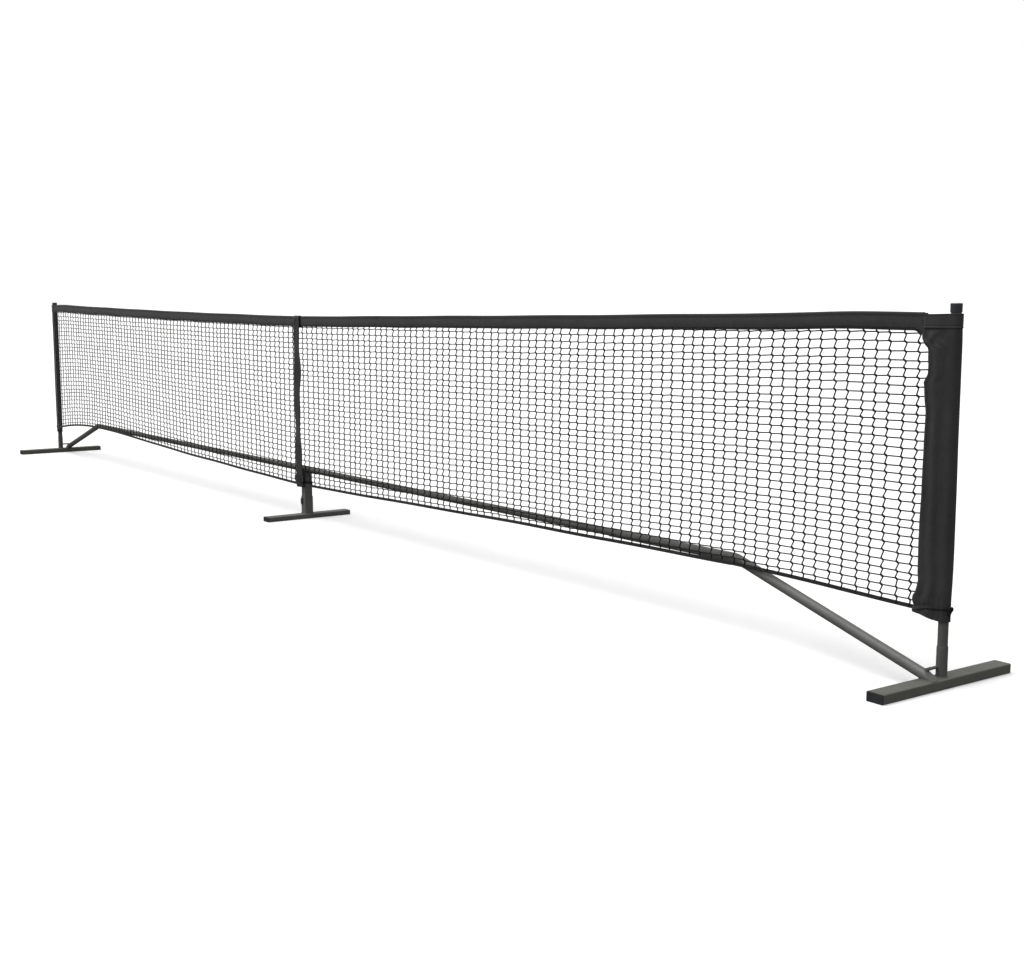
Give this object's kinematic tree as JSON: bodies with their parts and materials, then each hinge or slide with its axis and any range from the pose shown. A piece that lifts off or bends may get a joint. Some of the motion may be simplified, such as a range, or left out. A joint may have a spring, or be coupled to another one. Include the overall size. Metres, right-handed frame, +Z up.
{
  "type": "portable sports net",
  "caption": "Free-standing portable net: bent steel end frames, sectional crossbar, centre support, black netting with fabric band, sleeves and centre strap.",
  "frame": {"origin": "on the floor, midway between the two end posts, in the plane of the posts", "axes": "+X along the net, +Y away from the side of the frame that carries the net, +Z up"},
  "size_m": [6.756, 0.496, 0.937],
  "materials": {
    "coated_steel": "dark grey powder coat, low sheen",
    "zinc_steel": "zinc plated",
    "black_plastic": "fine moulded texture",
    "button_steel": "blackened steel",
    "spring_steel": "bare spring steel",
    "cord": "braided cord",
    "netting": "knotted black twine",
    "band_fabric": "charcoal coated woven fabric",
    "webbing": "woven webbing"
  },
  "bodies": {
    "frame": {"brace_tube_left": "coated_steel", "brace_tube_right": "coated_steel", "button_springs": "spring_steel", "centre_foot_end_caps": "black_plastic", "centre_foot_tube": "coated_steel", "centre_post": "coated_steel", "centre_socket": "coated_steel", "centre_tee": "coated_steel", "crossbar_spigot_left": "zinc_steel", "crossbar_spigot_right": "zinc_steel", "foot_end_caps_left": "black_plastic", "foot_end_caps_right": "black_plastic", "foot_tube_left": "coated_steel", "foot_tube_right": "coated_steel", "gusset_rod_left": "coated_steel", "gusset_rod_right": "coated_steel", "inner_crossbar_left": "coated_steel", "inner_crossbar_right": "coated_steel", "outer_crossbar_left": "coated_steel", "outer_crossbar_right": "coated_steel", "post_socket_left": "coated_steel", "post_socket_right": "coated_steel", "strap_anchor_loop": "webbing"},
    "net": {"net_mesh": "netting", "top_band": "band_fabric", "headline_cable": "cord", "bottom_hem": "band_fabric", "hem_cord": "cord", "end_sleeve_right": "band_fabric", "end_sleeve_left": "band_fabric", "corner_wrap_right": "band_fabric", "corner_wrap_left": "band_fabric", "sleeve_tie_right": "cord", "sleeve_tie_left": "cord", "centre_strap": "webbing", "strap_slider": "black_plastic"},
    "post_right": {"end_post_right": "coated_steel", "post_cap_right": "black_plastic", "post_foot_plug_right": "black_plastic"},
    "post_left": {"end_post_left": "coated_steel", "post_cap_left": "black_plastic", "post_foot_plug_left": "black_plastic"},
    "brace_button_right": {"brace_button_right": "button_steel"},
    "brace_button_left": {"brace_button_left": "button_steel"},
    "crossbar_button_right": {"crossbar_button_right": "button_steel"},
    "crossbar_button_left": {"crossbar_button_left": "button_steel"},
    "tee_button_right": {"tee_button_right": "button_steel"},
    "tee_button_left": {"tee_button_left": "button_steel"},
    "centre_button": {"centre_button": "button_steel"}
  },
  "joints": [
    {"name": "net_lift", "type": "slide", "parent": "frame", "child": "net", "axis": [0, 0, 1], "range_m": [0, 0.8]},
    {"name": "post_right_lift", "type": "slide", "parent": "frame", "child": "post_right", "axis": [0, 0, 1], "range_m": [0, 0.076]},
    {"name": "post_left_lift", "type": "slide", "parent": "frame", "child": "post_left", "axis": [0, 0, 1], "range_m": [0, 0.076]},
    {"name": "brace_button_right_press", "type": "slide", "parent": "frame", "child": "brace_button_right", "axis": [0, 1, 0], "range_m": [0, 0.0035]},
    {"name": "brace_button_left_press", "type": "slide", "parent": "frame", "child": "brace_button_left", "axis": [0, -1, 0], "range_m": [0, 0.0035]},
    {"name": "crossbar_button_right_press", "type": "slide", "parent": "frame", "child": "crossbar_button_right", "axis": [0, 1, 0], "range_m": [0, 0.0035]},
    {"name": "crossbar_button_left_press", "type": "slide", "parent": "frame", "child": "crossbar_button_left", "axis": [0, -1, 0], "range_m": [0, 0.0035]},
    {"name": "tee_button_right_press", "type": "slide", "parent": "frame", "child": "tee_button_right", "axis": [0, 1, 0], "range_m": [0, 0.0035]},
    {"name": "tee_button_left_press", "type": "slide", "parent": "frame", "child": "tee_button_left", "axis": [0, -1, 0], "range_m": [0, 0.0035]},
    {"name": "centre_button_press", "type": "slide", "parent": "frame", "child": "centre_button", "axis": [0, 1, 0], "range_m": [0, 0.004]}
  ]
}
